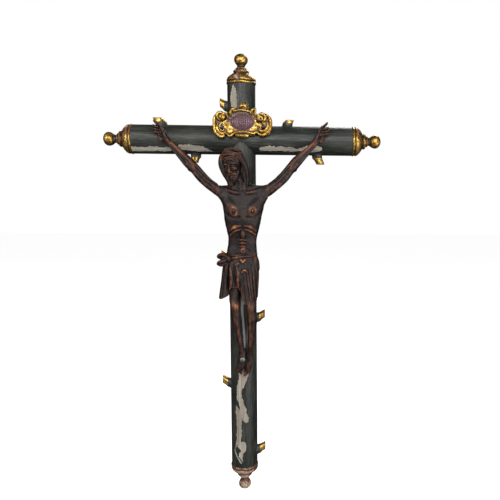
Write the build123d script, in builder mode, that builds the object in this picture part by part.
"""Hanging altar cross: two round beams, turned finials, cut branch stubs, a carved cartouche and a corpus.

Millimetres. The cross faces -Y, its height runs along Z, and the wall is on the +Y side.
The origin is the centre of the hanging link's large eye, with the link hanging down.
"""

import os
from math import cos, radians, sin

from build123d import *

# ---------------------------------------------------------------- driving dimensions

SHAFT_R = 21.5  # upright beam, radius
BAR_R = 22.0  # cross beam, radius
SHAFT_TOP = 82.5  # beam ends, measured from the crossing of the two axes
SHAFT_BOTTOM = -525.9
BAR_LEFT = -164.5
BAR_RIGHT = 170.0

EYE_BORE_R = 6.0  # the hanging link's large eye, which goes over the wall hook
EYE_OUTER_R = 10.0
LINK_THICK = 3.0
LINK_TOP_HOLE_R = 3.0  # its small eye, which the staple holds
LINK_TOP_R = 7.0
LINK_EYE_SPACING = 11.5

FINIAL_CAP_R = 22.7
FINIAL_BALL_R = 10.5
FINIAL_LENGTH = 45.8
# the finial's turned profile: radius, and distance out of the beam's end
FINIAL_LIP = ((21.8, 0), (FINIAL_CAP_R, 2.3), (21.8, 4.6))
FINIAL_DOME = ((21.8, 4.6), (22.2, 6.6), (20.8, 9.8), (18.2, 12.6), (14.2, 15.2), (12.0, 16.6))
FINIAL_FILLET = ((12.0, 16.6), (11.2, 17.2), (11.0, 18.2))
FINIAL_COLLAR = ((11.0, 18.2), (11.7, 20.0), (11.0, 21.8))
FINIAL_NECK = ((11.0, 21.8), (7.4, 23.7), (6.3, 26.9))
SPIGOT_R = 7.0
SPIGOT_LENGTH = 20.0

STUB_SECTIONS = ((-5.0, 10.5), (5.0, 6.6), (30.0, 6.2))  # place along the stub from the beam's skin, radius
STUB_TENON_R = 3.0
STUB_TENON_DEPTH = 14.0

CARTOUCHE_X = 3.5  # centre of the cartouche, from the crossing
CARTOUCHE_Z = 24.0
CARTOUCHE_THICK = 9.0

SHOULDER_RIGHT_X = -33.0  # faces where the arms are joined on
SHOULDER_LEFT_X = 41.0
PALM_FRONT = -29.5  # where the nail heads bear, in front of the beam axes
FOOT_FRONT = -42.5

# x and z of each fastener, from the crossing
HAND_NAILS = {"right": (-116.0, 3.0), "left": (119.0, 2.5)}
HAND_NAIL_TIP = -6.0
HAND_NAIL_HEAD_R = 2.6
HAND_NAIL_SHANK_R = 1.2
FOOT_SCREW = (1.0, -336.5)
FOOT_SCREW_TIP = -5.0
FOOT_SCREW_HEAD_R = 4.2
FOOT_SCREW_R = 2.0
FOOT_SCREW_RECESS = (4.2, 1.2, 1.2)  # its cross recess: length, width and depth
BACK_SCREW_Z = -192.0
BACK_SCREW_TIP = -35.0
BACK_SCREW_HEAD_Y = 18.6
BACK_SCREW_HEAD_R = 4.6
BACK_SCREW_R = 2.2
BACK_SCREW_HOLE_R = 2.5  # clearance hole through the shaft
BACK_SCREW_SEAT_R = 5.0  # counterbore for its head
BACK_SCREW_SEAT_DEPTH = 3.0
BACK_SCREW_SUNK = 0.5  # its head lies this far below the shaft's surface
BACK_SCREW_SLOT = (12.0, 1.0, 1.0)  # longer than the head, so that it runs right across; then width and depth
CARTOUCHE_NAIL_TIP = -3.0
CARTOUCHE_NAIL_HEAD_R = 2.9
CARTOUCHE_NAIL_R = 1.1
NAIL_POINT = 4.0
DOME_RISE = 0.5  # height of a nail's or a screw's domed head, as a share of its radius
DOME_SHOULDER = (0.7, 0.33)  # a point on the dome, out and up, as shares of the radius

GLUE_GAP = 0.1  # radial room round every tenon, peg and shank
END_GAP = 1.0  # room past the end of a blind tenon
OVERRUN = 1.0  # how far a cut starts outside the surface, and how far joined solids overlap
HEAD_ROOM = 30.0  # depth cleared in front of the seat of a nail's or a screw's head

# ---------------------------------------------------------------- places worked out from them

STAPLE_WIRE_R = 1.5
STAPLE_EYE_R = 3.2
STAPLE_BEND_R = STAPLE_EYE_R + STAPLE_WIRE_R
STAPLE_DEPTH = 12.0
STAPLE_Z = 58.0  # height of the staple above the crossing
STAPLE_OFF = 0.3  # the staple's eye stands this far off the wood

HINGE_Y = SHAFT_R + STAPLE_EYE_R + STAPLE_OFF  # middle of the staple's eye, behind the beam axes
HINGE_TO_TOP_HOLE = (LINK_TOP_R + LINK_TOP_HOLE_R) / 2  # the link turns about its top bar
HINGE_TO_EYE = HINGE_TO_TOP_HOLE + LINK_EYE_SPACING

AXIS_Y = -HINGE_Y  # the beam axes, from the origin
CROSS_Z = HINGE_TO_EYE - STAPLE_Z  # the crossing, from the origin
FRONT = -max(SHAFT_R, BAR_R)  # plane that touches the front of both beams
CARTOUCHE_FRONT = FRONT - CARTOUCHE_THICK
VOLUTE_SPAN = 30.5  # the two side scrolls, from the cartouche's middle
CARTOUCHE_SLOTS = ((-VOLUTE_SPAN, -7.5), (VOLUTE_SPAN, -6.5))  # pierced, and nailed through


def at(x, y, z):
    """A point given from the crossing of the beam axes."""
    return Vector(x, AXIS_Y + y, CROSS_Z + z)


def facing(x, y, z):
    """A sketch plane at a point, looking at the front: local X is right and local Y is up."""
    return Plane(at(x, y, z), x_dir=(1, 0, 0), z_dir=(0, -1, 0))


def rod(start, end, radius, mode=Mode.ADD):
    """A round rod from one point to another."""
    run = end - start
    with Locations(Plane(start, z_dir=run)):
        Cylinder(radius, run.length, align=(Align.CENTER, Align.CENTER, Align.MIN), mode=mode)


def limb(start, end, r_start, r_end):
    """A tapered limb with rounded ends."""
    run = end - start
    with Locations(Plane(start, z_dir=run)):
        Cone(r_start, r_end, run.length, align=(Align.CENTER, Align.CENTER, Align.MIN))
    with Locations(start):
        Sphere(r_start)
    with Locations(end):
        Sphere(r_end)


def oval_loft(sections):
    """A body lofted through level ovals: height, centre x, centre y, half width, half depth."""
    ovals = []
    for z, x, y, half_width, half_depth in sections:
        with BuildSketch(Plane(at(x, y, z), z_dir=(0, 0, 1))) as oval:
            Ellipse(half_width, half_depth)
        ovals.append(oval.sketch)
    loft(ovals)


def egg(centre, direction, half_length, radius):
    """An egg-shaped solid about a slanted axis."""
    plane = Plane(centre, x_dir=direction, z_dir=Vector(0, -1, 0).cross(direction))
    with BuildSketch(plane) as half:
        Ellipse(half_length, radius)
        split(bisect_by=Plane.XZ, keep=Keep.BOTTOM)
    revolve(half.sketch, axis=Axis(centre, direction))


def nail(spot, y_head, y_tip, head_r, shank_r):
    """A domed nail or screw driven from the front at an x, z spot."""
    x, z = spot
    length = y_tip - y_head
    crown = (0, -head_r * DOME_RISE)
    shoulder = (head_r * DOME_SHOULDER[0], -head_r * DOME_SHOULDER[1])
    with BuildSketch(Plane(at(x, y_head, z), x_dir=(1, 0, 0), z_dir=(0, 0, 1))) as profile:
        with BuildLine():
            ThreePointArc(crown, shoulder, (head_r, 0))
            Polyline((head_r, 0), (shank_r, 0), (shank_r, length - NAIL_POINT), (0, length), crown)
        make_face()
    revolve(profile.sketch, axis=Axis(at(x, y_head, z), (0, 1, 0)))


def nail_hole(spot, y_front, y_tip, shank_r):
    """The hole that a nail's or a screw's shank fills."""
    x, z = spot
    rod(at(x, y_front, z), at(x, y_tip + END_GAP, z), shank_r + GLUE_GAP, mode=Mode.SUBTRACT)


def spot_face(spot, y_front, head_r):
    """Clears everything in front of the seat that a nail's or a screw's head bears on."""
    x, z = spot
    rod(at(x, y_front, z), at(x, y_front - HEAD_ROOM, z), head_r + GLUE_GAP, mode=Mode.SUBTRACT)


# ---------------------------------------------------------------- the ends of the beams

# name: end point of the beam, direction out of it
BEAM_ENDS = {
    "top": (at(0, 0, SHAFT_TOP), Vector(0, 0, 1)),
    "bottom": (at(0, 0, SHAFT_BOTTOM), Vector(0, 0, -1)),
    "left": (at(BAR_LEFT, 0, 0), Vector(-1, 0, 0)),
    "right": (at(BAR_RIGHT, 0, 0), Vector(1, 0, 0)),
}


def end_socket(name):
    """The blind hole that takes a finial's spigot."""
    end, out = BEAM_ENDS[name]
    inner = end - out * (SPIGOT_LENGTH + END_GAP)
    rod(inner, end + out * OVERRUN, SPIGOT_R + GLUE_GAP, mode=Mode.SUBTRACT)


# ---------------------------------------------------------------- the branch stubs

# name: place along the beam, side of the beam, how far the cut face stands off, lean in degrees
SHAFT_STUBS = {
    "stub_shaft_top": (50.0, -1, 11.2, 30.0),
    "stub_shaft_waist": (-183.0, -1, 12.0, 30.0),
    "stub_shaft_knee": (-279.0, 1, 13.2, 28.0),
    "stub_shaft_shin": (-388.0, -1, 13.0, 30.0),
    "stub_shaft_foot": (-503.0, 1, 13.2, 28.0),
}
BAR_STUBS = {
    "stub_bar_left_upper": (-120.5, 1, 10.6, 36.0),
    "stub_bar_left_lower": (-70.5, -1, 13.0, 12.0),
    "stub_bar_right_upper": (70.0, 1, 9.4, 24.0),
    "stub_bar_right_lower": (116.0, -1, 13.8, 24.0),
}


def stub_plane(place, side, lean, on_shaft):
    """The plane where a stub leaves its beam, looking along the stub, and the way out of the beam."""
    if on_shaft:
        out, growth, root = Vector(side, 0, 0), Vector(0, 0, 1), at(side * SHAFT_R, 0, place)
    else:
        toward_end = 1 if place > 0 else -1
        out, growth, root = Vector(0, 0, side), Vector(toward_end, 0, 0), at(place, 0, side * BAR_R)
    direction = out * cos(radians(lean)) + growth * sin(radians(lean))
    return Plane(root, x_dir=(0, 1, 0), z_dir=direction), out


def stub_socket(place, side, lean, on_shaft):
    """The blind hole that takes a stub's tenon."""
    plane, _ = stub_plane(place, side, lean, on_shaft)
    inner = plane.offset(-STUB_TENON_DEPTH - END_GAP)
    outer = plane.offset(STUB_TENON_R)
    rod(inner.origin, outer.origin, STUB_TENON_R + GLUE_GAP, mode=Mode.SUBTRACT)


# ---------------------------------------------------------------- the beams

LAP_PEGS = ((-9.0, 9.0), (9.0, -9.0))
LAP_PEG_R = 4.0
LAP_PEG_FRONT = -12.0
LAP_PEG_BACK = 19.5

with BuildPart() as upright_beam:
    rod(at(0, 0, SHAFT_BOTTOM), at(0, 0, SHAFT_TOP), SHAFT_R)
    rod(at(-SHAFT_R, 0, 0), at(SHAFT_R, 0, 0), BAR_R)
    with Locations(at(0, 0, 0)):
        Box(
            2 * SHAFT_R,
            BAR_R + OVERRUN,
            2 * BAR_R,
            align=(Align.CENTER, Align.MAX, Align.CENTER),
            mode=Mode.SUBTRACT,
        )
    end_socket("top")
    end_socket("bottom")
    for place, side, _, lean in SHAFT_STUBS.values():
        stub_socket(place, side, lean, True)
    for x, z in LAP_PEGS:
        rod(at(x, -OVERRUN, z), at(x, BAR_R, z), LAP_PEG_R + GLUE_GAP, mode=Mode.SUBTRACT)
    for rise in (-STAPLE_BEND_R, STAPLE_BEND_R):
        rod(
            at(0, SHAFT_R - STAPLE_DEPTH - END_GAP, STAPLE_Z + rise),
            at(0, SHAFT_R + OVERRUN, STAPLE_Z + rise),
            STAPLE_WIRE_R + GLUE_GAP / 2,
            mode=Mode.SUBTRACT,
        )
    for start_y, hole_r in (
        (-SHAFT_R - OVERRUN, BACK_SCREW_HOLE_R),
        (SHAFT_R - BACK_SCREW_SEAT_DEPTH, BACK_SCREW_SEAT_R),
    ):
        rod(
            at(0, start_y, BACK_SCREW_Z),
            at(0, SHAFT_R + OVERRUN, BACK_SCREW_Z),
            hole_r,
            mode=Mode.SUBTRACT,
        )
    nail_hole(FOOT_SCREW, -SHAFT_R - OVERRUN, FOOT_SCREW_TIP, FOOT_SCREW_R)

with BuildPart() as cross_beam:
    rod(at(BAR_LEFT, 0, 0), at(BAR_RIGHT, 0, 0), BAR_R)
    rod(at(0, 0, -BAR_R), at(0, 0, BAR_R), SHAFT_R)
    with Locations(at(0, 0, 0)):
        Box(
            2 * SHAFT_R,
            BAR_R + OVERRUN,
            2 * BAR_R,
            align=(Align.CENTER, Align.MIN, Align.CENTER),
            mode=Mode.SUBTRACT,
        )
    end_socket("left")
    end_socket("right")
    for place, side, _, lean in BAR_STUBS.values():
        stub_socket(place, side, lean, False)
    for x, z in LAP_PEGS:
        rod(at(x, LAP_PEG_FRONT - END_GAP, z), at(x, OVERRUN, z), LAP_PEG_R + GLUE_GAP, mode=Mode.SUBTRACT)
    for spot in HAND_NAILS.values():
        nail_hole(spot, -BAR_R - OVERRUN, HAND_NAIL_TIP, HAND_NAIL_SHANK_R)
    for slot_x, slot_z in CARTOUCHE_SLOTS:
        spot = (CARTOUCHE_X + slot_x, CARTOUCHE_Z + slot_z)
        nail_hole(spot, -BAR_R - OVERRUN, CARTOUCHE_NAIL_TIP, CARTOUCHE_NAIL_R)

os.makedirs("parts", exist_ok=True)

# ---------------------------------------------------------------- turned finials

for end_name, (end_point, out) in BEAM_ENDS.items():
    radial = Vector(0, -1, 0)
    profile_plane = Plane(end_point, x_dir=radial, z_dir=radial.cross(out))
    with BuildPart() as finial:
        with BuildSketch(profile_plane):
            with BuildLine():
                Line((0, 0), FINIAL_LIP[0])
                ThreePointArc(*FINIAL_LIP)
                Spline(*FINIAL_DOME)
                for curve in (FINIAL_FILLET, FINIAL_COLLAR, FINIAL_NECK):
                    ThreePointArc(*curve)
                ball_side = (FINIAL_BALL_R, FINIAL_LENGTH - FINIAL_BALL_R)
                ThreePointArc(FINIAL_NECK[-1], ball_side, (0, FINIAL_LENGTH))
                Line((0, FINIAL_LENGTH), (0, 0))
            make_face()
        revolve(axis=Axis(end_point, out))
        rod(end_point - out * SPIGOT_LENGTH, end_point + out * OVERRUN, SPIGOT_R)
    finial.part.label = f"finial_{end_name}"
    export_step(finial.part, f"parts/finial_{end_name}.step")

# ---------------------------------------------------------------- cut branch stubs

for stub_name, (place, side, reach, lean) in {**SHAFT_STUBS, **BAR_STUBS}.items():
    on_shaft = stub_name in SHAFT_STUBS
    stem, out = stub_plane(place, side, lean, on_shaft)
    with BuildPart() as stub:
        for along, section_r in STUB_SECTIONS:
            with BuildSketch(stem.offset(along)):
                Circle(section_r)
        loft()
        split(bisect_by=Plane(stem.origin + out * reach, z_dir=out), keep=Keep.BOTTOM)
        if on_shaft:
            rod(at(0, 0, SHAFT_BOTTOM), at(0, 0, SHAFT_TOP), SHAFT_R, mode=Mode.SUBTRACT)
        else:
            rod(at(BAR_LEFT, 0, 0), at(BAR_RIGHT, 0, 0), BAR_R, mode=Mode.SUBTRACT)
        rod(stem.offset(-STUB_TENON_DEPTH).origin, stem.offset(2 * OVERRUN).origin, STUB_TENON_R)
    stub.part.label = stub_name
    export_step(stub.part, f"parts/{stub_name}.step")

# ---------------------------------------------------------------- lap pegs

with BuildPart() as lap_pegs:
    for x, z in LAP_PEGS:
        rod(at(x, LAP_PEG_FRONT, z), at(x, LAP_PEG_BACK, z), LAP_PEG_R)

# ---------------------------------------------------------------- hanger on the back

hinge = at(0, HINGE_Y, STAPLE_Z)
leg_reach = HINGE_Y - SHAFT_R + STAPLE_DEPTH

with BuildPart() as hanger_staple:
    with BuildLine(Plane(hinge, x_dir=(0, 1, 0), z_dir=(1, 0, 0))):
        Line((-leg_reach, STAPLE_BEND_R), (0, STAPLE_BEND_R))
        CenterArc((0, 0), STAPLE_BEND_R, 90, -180)
        Line((0, -STAPLE_BEND_R), (-leg_reach, -STAPLE_BEND_R))
    with BuildSketch(Plane(hinge + Vector(0, -leg_reach, STAPLE_BEND_R), z_dir=(0, 1, 0))):
        Circle(STAPLE_WIRE_R)
    sweep()

with BuildPart() as hanging_link:
    with BuildSketch(facing(0, HINGE_Y + LINK_THICK / 2, STAPLE_Z)):
        with Locations((0, -HINGE_TO_TOP_HOLE)):
            Circle(LINK_TOP_R)
        with Locations((0, -HINGE_TO_EYE)):
            Circle(EYE_OUTER_R)
        make_hull()
        with Locations((0, -HINGE_TO_TOP_HOLE)):
            Circle(LINK_TOP_HOLE_R, mode=Mode.SUBTRACT)
        with Locations((0, -HINGE_TO_EYE)):
            Circle(EYE_BORE_R, mode=Mode.SUBTRACT)
    extrude(amount=LINK_THICK)

# ---------------------------------------------------------------- cartouche

SLOT_HEIGHT = 9.0
SLOT_WIDTH = 4.2
TABLET_WIDTH = 38.0
TABLET_HEIGHT = 27.0
TABLET_RECESS = 3.0
TABLET_CROWN = 2.5
CARTOUCHE_STEP = 2.0  # the outline steps in round the front face
# the outline's lobes, from the cartouche's middle: (x, z), half width, half height
FIELD = ((0, 0), 29.0, 19.5)
SHELL = ((2, 22), 9.0, 7.0)
LIP = ((0, -19), 10.0, 5.5)
# the lobes that stand on both sides: (x, z), radius
SIDE_LOBES = (((29.5, 6.5), 14.0), ((30.5, -8), 13.5), ((13, 18), 5.0))
SIDE_NOTCH = ((20, -21.5), 3.2)
VOLUTE_EYES = ((-VOLUTE_SPAN, 8), (VOLUTE_SPAN - 2, 7))
VOLUTE_EYE_R = 5.2
VOLUTE_EYE_RISE = 2.5
VOLUTE_EYE_TAPER = 30
TABLET_TOP_INSET = (8.0, 7.0)  # the crown's flat top, in from the tablet's edge


def cartouche_outline(y, inset):
    """The cartouche's outline on a plane across Y, drawn in by an inset."""
    with BuildSketch(facing(CARTOUCHE_X, y, CARTOUCHE_Z)) as outline:
        with Locations(FIELD[0]):
            Ellipse(FIELD[1] - inset, FIELD[2] - inset)
        for side in (-1, 1):
            for (lobe_x, lobe_z), lobe_r in SIDE_LOBES:
                with Locations((side * lobe_x, lobe_z)):
                    Circle(lobe_r - inset)
            (notch_x, notch_z), notch_r = SIDE_NOTCH
            with Locations((side * notch_x, notch_z)):
                Circle(notch_r + inset, mode=Mode.SUBTRACT)
        for middle, half_width, half_height in (SHELL, LIP):
            with Locations(middle):
                Ellipse(half_width - inset, half_height - inset)
        with Locations(*CARTOUCHE_SLOTS):
            SlotOverall(SLOT_HEIGHT, SLOT_WIDTH, rotation=90, mode=Mode.SUBTRACT)
    return outline.sketch


with BuildPart() as cartouche_frame:
    extrude(cartouche_outline(FRONT, 0), amount=CARTOUCHE_THICK - CARTOUCHE_STEP)
    extrude(cartouche_outline(CARTOUCHE_FRONT + CARTOUCHE_STEP, CARTOUCHE_STEP), amount=CARTOUCHE_STEP)
    with BuildSketch(facing(CARTOUCHE_X, CARTOUCHE_FRONT, CARTOUCHE_Z)):
        Ellipse(TABLET_WIDTH / 2, TABLET_HEIGHT / 2)
    extrude(amount=-TABLET_RECESS, mode=Mode.SUBTRACT)
    with BuildSketch(facing(CARTOUCHE_X, CARTOUCHE_FRONT, CARTOUCHE_Z)):
        with Locations(*VOLUTE_EYES):
            Circle(VOLUTE_EYE_R)
    extrude(amount=VOLUTE_EYE_RISE, taper=VOLUTE_EYE_TAPER)

with BuildPart() as cartouche_tablet:
    with BuildSketch(facing(CARTOUCHE_X, CARTOUCHE_FRONT + TABLET_RECESS, CARTOUCHE_Z)):
        Ellipse(TABLET_WIDTH / 2 - GLUE_GAP, TABLET_HEIGHT / 2 - GLUE_GAP)
    extrude(amount=TABLET_RECESS)
    with BuildSketch(facing(CARTOUCHE_X, CARTOUCHE_FRONT, CARTOUCHE_Z)):
        Ellipse(TABLET_WIDTH / 2 - GLUE_GAP, TABLET_HEIGHT / 2 - GLUE_GAP)
    with BuildSketch(facing(CARTOUCHE_X, CARTOUCHE_FRONT - TABLET_CROWN, CARTOUCHE_Z)):
        Ellipse(TABLET_WIDTH / 2 - TABLET_TOP_INSET[0], TABLET_HEIGHT / 2 - TABLET_TOP_INSET[1])
    loft()

with BuildPart() as cartouche_nails:
    for slot_x, slot_z in CARTOUCHE_SLOTS:
        spot = (CARTOUCHE_X + slot_x, CARTOUCHE_Z + slot_z)
        nail(spot, CARTOUCHE_FRONT, CARTOUCHE_NAIL_TIP, CARTOUCHE_NAIL_HEAD_R, CARTOUCHE_NAIL_R)

# ---------------------------------------------------------------- corpus

HEAD_CENTRE = at(-11.5, -50, -38)
HEAD_UP = Vector(-8.5, 4, 46).normalized()
HEAD_HALF_HEIGHT = 23.5
HEAD_R = 17.5
NECK = ((1, -38, -74), (-6, -44, -54), 9.5, 8)  # start, end and their radii
# level ovals from the top down: height, centre x, centre y, half width, half depth
CHEST_OVALS = (
    (-66, 2, -37.5, 20, 7),
    (-76, 4, -38, 38, 11.5),
    (-90, 4.5, -39, 32.5, 14.5),
    (-106, 4, -39.5, 30, 15),
    (-126, 3.3, -39, 26, 13.5),
    (-147, 2.6, -38, 21.3, 12),
    (-164, 2, -38, 22.5, 13),
)
CLOTH_OVALS = (
    (-160, 2, -38, 22, 12.5),
    (-172, -1, -38.5, 27.5, 16),
    (-190, -1, -39, 30.5, 17.5),
    (-215, -2.5, -39, 30, 17.5),
    (-241, -5, -38.5, 30, 15),
)
# thigh, shin and foot of each leg, then the instep under the screw: start, end and their radii
LEG_LIMBS = (
    ((-9, -39, -200), (-8.5, -45, -266), 13, 9.5),
    ((-8.5, -45, -266), (-2, -33, -328), 9.4, 5.6),
    ((-2, -33, -328), (-4, -30, -357), 6, 4.8),
    ((13, -39, -200), (12.5, -45, -268), 13, 9.5),
    ((12.5, -45, -268), (10, -33, -330), 9.4, 5.6),
    ((10, -33, -330), (8, -29, -362), 6, 4.8),
    ((0, -36, -322), (1.5, -35, -348), 8, 6.5),
)
# shoulder, elbow, wrist, palm and fingertips
ARM_JOINTS = {
    "right": ((-22, -38, -84), (-72, -33, -40), (-104, -28, -8.5), (-115, -26, 3), (-124, -26, 18)),
    "left": ((30, -38, -84), (78, -33, -39), (111.5, -28, -7), (119, -26, 3), (126, -26, 20)),
}
ARM_RADII = ((11, 8), (7.9, 4.6), (4.5, 6.4), (6.5, 4))  # start and end of each limb between those joints
SHOULDER_FACES = {"right": SHOULDER_RIGHT_X, "left": SHOULDER_LEFT_X}
SHOULDER_DOWEL_R = 3.0
SHOULDER_DOWEL_HALF = 9.0
SHOULDER_DOWEL_YZ = (-37.5, -76.5)

with BuildPart() as corpus_body:
    oval_loft(CHEST_OVALS)
    oval_loft(CLOTH_OVALS)
    egg(HEAD_CENTRE, HEAD_UP, HEAD_HALF_HEIGHT, HEAD_R)
    for start, end, r_start, r_end in (NECK, *LEG_LIMBS):
        limb(at(*start), at(*end), r_start, r_end)
    # faces where the arms are joined on
    split(bisect_by=Plane(at(SHOULDER_RIGHT_X, 0, 0), z_dir=(1, 0, 0)), keep=Keep.TOP)
    split(bisect_by=Plane(at(SHOULDER_LEFT_X, 0, 0), z_dir=(1, 0, 0)), keep=Keep.BOTTOM)
    # the back is scribed to the shaft
    rod(at(0, 0, SHAFT_BOTTOM), at(0, 0, 0), SHAFT_R, mode=Mode.SUBTRACT)
    # flat under the foot screw's head, and the holes
    spot_face(FOOT_SCREW, FOOT_FRONT, FOOT_SCREW_HEAD_R)
    nail_hole(FOOT_SCREW, FOOT_FRONT - OVERRUN, 0, FOOT_SCREW_R)
    rod(
        at(0, BACK_SCREW_TIP - END_GAP, BACK_SCREW_Z),
        at(0, 0, BACK_SCREW_Z),
        BACK_SCREW_R + GLUE_GAP,
        mode=Mode.SUBTRACT,
    )
    for face_x in SHOULDER_FACES.values():
        rod(
            at(face_x - SHOULDER_DOWEL_HALF - END_GAP, *SHOULDER_DOWEL_YZ),
            at(face_x + SHOULDER_DOWEL_HALF + END_GAP, *SHOULDER_DOWEL_YZ),
            SHOULDER_DOWEL_R + GLUE_GAP,
            mode=Mode.SUBTRACT,
        )
corpus_body.part.label = "corpus_body"
export_step(corpus_body.part, "parts/corpus_body.step")

for arm_side, joints in ARM_JOINTS.items():
    face_x = SHOULDER_FACES[arm_side]
    outward = Keep.BOTTOM if arm_side == "right" else Keep.TOP
    with BuildPart() as corpus_arm:
        for start, end, (r_start, r_end) in zip(joints, joints[1:], ARM_RADII):
            limb(at(*start), at(*end), r_start, r_end)
        split(bisect_by=Plane(at(face_x, 0, 0), z_dir=(1, 0, 0)), keep=outward)
        rod(at(BAR_LEFT, 0, 0), at(BAR_RIGHT, 0, 0), BAR_R, mode=Mode.SUBTRACT)
        spot_face(HAND_NAILS[arm_side], PALM_FRONT, HAND_NAIL_HEAD_R)
        nail_hole(HAND_NAILS[arm_side], PALM_FRONT - OVERRUN, 0, HAND_NAIL_SHANK_R)
        rod(
            at(face_x - SHOULDER_DOWEL_HALF - END_GAP, *SHOULDER_DOWEL_YZ),
            at(face_x + SHOULDER_DOWEL_HALF + END_GAP, *SHOULDER_DOWEL_YZ),
            SHOULDER_DOWEL_R + GLUE_GAP,
            mode=Mode.SUBTRACT,
        )
    corpus_arm.part.label = f"corpus_arm_{arm_side}"
    export_step(corpus_arm.part, f"parts/corpus_arm_{arm_side}.step")

# ---------------------------------------------------------------- what holds the corpus

with BuildPart() as shoulder_dowels:
    for face_x in SHOULDER_FACES.values():
        rod(
            at(face_x - SHOULDER_DOWEL_HALF, *SHOULDER_DOWEL_YZ),
            at(face_x + SHOULDER_DOWEL_HALF, *SHOULDER_DOWEL_YZ),
            SHOULDER_DOWEL_R,
        )

with BuildPart() as hand_nails:
    for spot in HAND_NAILS.values():
        nail(spot, PALM_FRONT, HAND_NAIL_TIP, HAND_NAIL_HEAD_R, HAND_NAIL_SHANK_R)

with BuildPart() as foot_screw:
    nail(FOOT_SCREW, FOOT_FRONT, FOOT_SCREW_TIP, FOOT_SCREW_HEAD_R, FOOT_SCREW_R)
    recess_length, recess_width, recess_depth = FOOT_SCREW_RECESS
    with Locations(at(FOOT_SCREW[0], FOOT_FRONT - FOOT_SCREW_HEAD_R * DOME_RISE, FOOT_SCREW[1])):
        Box(recess_length, 2 * recess_depth, recess_width, mode=Mode.SUBTRACT)
        Box(recess_width, 2 * recess_depth, recess_length, mode=Mode.SUBTRACT)

with BuildPart() as corpus_back_screw:
    rod(at(0, BACK_SCREW_HEAD_Y, BACK_SCREW_Z), at(0, BACK_SCREW_TIP, BACK_SCREW_Z), BACK_SCREW_R)
    head_face = at(0, SHAFT_R - BACK_SCREW_SUNK, BACK_SCREW_Z)
    rod(at(0, BACK_SCREW_HEAD_Y, BACK_SCREW_Z), head_face, BACK_SCREW_HEAD_R)
    slot_length, slot_width, slot_depth = BACK_SCREW_SLOT
    with Locations(head_face):
        Box(slot_length, 2 * slot_depth, slot_width, mode=Mode.SUBTRACT)

# ---------------------------------------------------------------- one file for each sub-part

PIECES = {
    "upright_beam": upright_beam,
    "cross_beam": cross_beam,
    "lap_pegs": lap_pegs,
    "hanger_staple": hanger_staple,
    "hanging_link": hanging_link,
    "cartouche_frame": cartouche_frame,
    "cartouche_tablet": cartouche_tablet,
    "cartouche_nails": cartouche_nails,
    "shoulder_dowels": shoulder_dowels,
    "hand_nails": hand_nails,
    "foot_screw": foot_screw,
    "corpus_back_screw": corpus_back_screw,
}
for piece_name, piece in PIECES.items():
    piece.part.label = piece_name
    export_step(piece.part, f"parts/{piece_name}.step")
